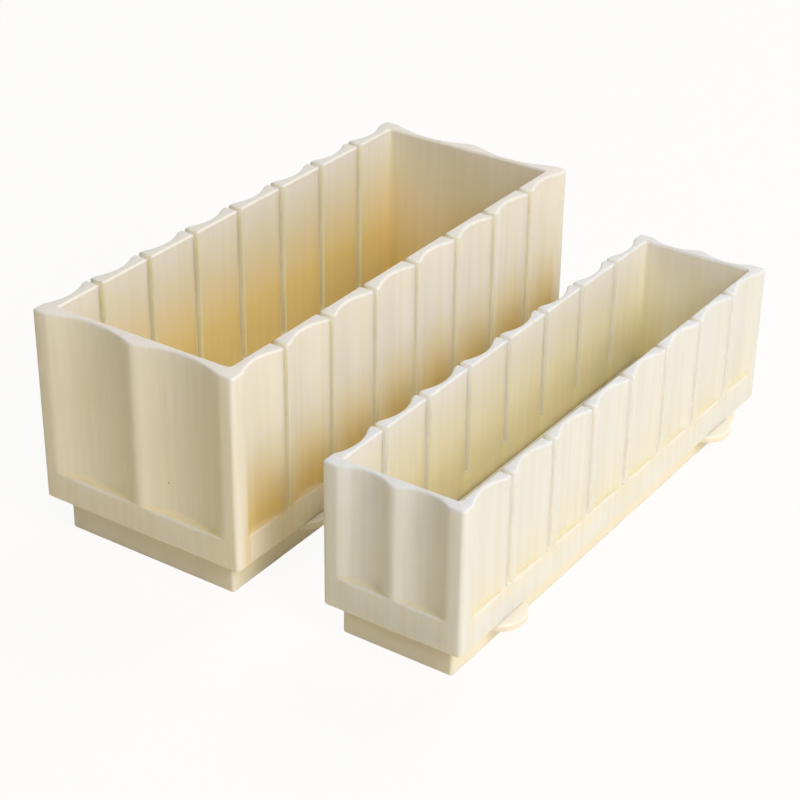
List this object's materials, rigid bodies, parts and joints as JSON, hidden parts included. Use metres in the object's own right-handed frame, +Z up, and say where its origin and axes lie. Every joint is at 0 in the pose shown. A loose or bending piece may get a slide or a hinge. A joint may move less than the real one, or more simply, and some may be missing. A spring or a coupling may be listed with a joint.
{
  "type": "sushi rice mold press",
  "caption": "Wide and narrow presses for boxed sushi: open fluted frames with knife slots, standing on tabbed bases, with flat press plates inside.",
  "frame": {"origin": "on the table, under the centre of the whole part's box", "axes": "+Z up; +Y along the long sides, towards the back; +X from the wide mould to the narrow one"},
  "size_m": [0.1792, 0.2148, 0.087],
  "materials": {
    "frame_plastic": "soft gloss, warm ivory, slightly translucent",
    "base_plastic": "soft gloss, warm ivory, slightly translucent",
    "plate_plastic": "soft gloss, warm ivory, slightly translucent"
  },
  "bodies": {
    "large_base": {"large_base": "base_plastic"},
    "large_frame": {"large_frame": "frame_plastic"},
    "large_press_plate": {"large_press_plate": "plate_plastic"},
    "small_base": {"small_base": "base_plastic"},
    "small_frame": {"small_frame": "frame_plastic"},
    "small_press_plate": {"small_press_plate": "plate_plastic"}
  },
  "joints": [
    {"name": "large_frame_lift", "type": "slide", "parent": "large_base", "child": "large_frame", "axis": [0, 0, 1], "range_m": [0, 0.08]},
    {"name": "large_press_travel", "type": "slide", "parent": "large_base", "child": "large_press_plate", "axis": [0, 0, 1], "range_m": [0, 0.075]},
    {"name": "small_mould_shift", "type": "slide", "parent": "large_base", "child": "small_base", "axis": [1, 0, 0], "range_m": [0, 0.1]},
    {"name": "small_frame_lift", "type": "slide", "parent": "small_base", "child": "small_frame", "axis": [0, 0, 1], "range_m": [0, 0.06]},
    {"name": "small_press_travel", "type": "slide", "parent": "small_base", "child": "small_press_plate", "axis": [0, 0, 1], "range_m": [0, 0.056]}
  ]
}
